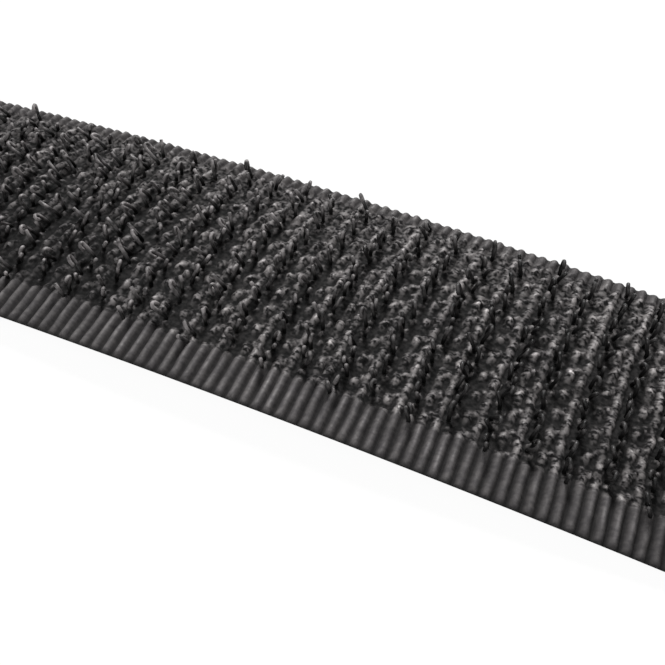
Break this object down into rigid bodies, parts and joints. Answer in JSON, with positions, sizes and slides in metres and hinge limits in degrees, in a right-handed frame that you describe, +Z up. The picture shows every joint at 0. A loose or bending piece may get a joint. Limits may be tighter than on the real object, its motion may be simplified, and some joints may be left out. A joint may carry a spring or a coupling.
{
  "type": "hook tape roll",
  "caption": "Roll of woven hook fastener tape wound on a plain card core, with a free flexible tail lying hook side up.",
  "frame": {"origin": "bottom centre of the bounding box, on the surface the tape lies on", "axes": "+X along the tail away from the roll, +Y across the tape from its near edge to its far edge, +Z up"},
  "size_m": [0.1506, 0.02, 0.0921],
  "materials": {
    "tape_cloth": "matte ribbed weave",
    "hook_nylon": "satin monofilament",
    "back_coat": "resin coated back",
    "core_card": "plain card"
  },
  "bodies": {
    "roll": {"core_tube": "core_card", "winding": "tape_cloth", "back_coat_1": "back_coat", "near_selvedge_1": "tape_cloth", "far_selvedge_1": "tape_cloth", "hook_field_1": "hook_nylon"},
    "tail_2": {"back_coat_2": "back_coat", "near_selvedge_2": "tape_cloth", "far_selvedge_2": "tape_cloth", "hook_field_2": "hook_nylon"},
    "tail_3": {"back_coat_3": "back_coat", "near_selvedge_3": "tape_cloth", "far_selvedge_3": "tape_cloth", "hook_field_3": "hook_nylon"},
    "tail_4": {"back_coat_4": "back_coat", "near_selvedge_4": "tape_cloth", "far_selvedge_4": "tape_cloth", "hook_field_4": "hook_nylon"}
  },
  "joints": [
    {"name": "tail_bend_1", "type": "hinge", "parent": "roll", "child": "tail_2", "pos_m": [0.01335, 0, 0.00112], "axis": [0, -1, 0], "range_deg": [0, 30]},
    {"name": "tail_bend_2", "type": "hinge", "parent": "tail_2", "child": "tail_3", "pos_m": [0.034, 0, 0.00192], "axis": [0, -1, 0], "range_deg": [0, 30]},
    {"name": "tail_bend_3", "type": "hinge", "parent": "tail_3", "child": "tail_4", "pos_m": [0.05466, 0, 0.00165], "axis": [0, -1, 0], "range_deg": [0, 30]}
  ],
  "couplings": [
    {"joint": "tail_bend_2", "follows": "tail_bend_1", "ratio": 1},
    {"joint": "tail_bend_3", "follows": "tail_bend_1", "ratio": 1}
  ]
}
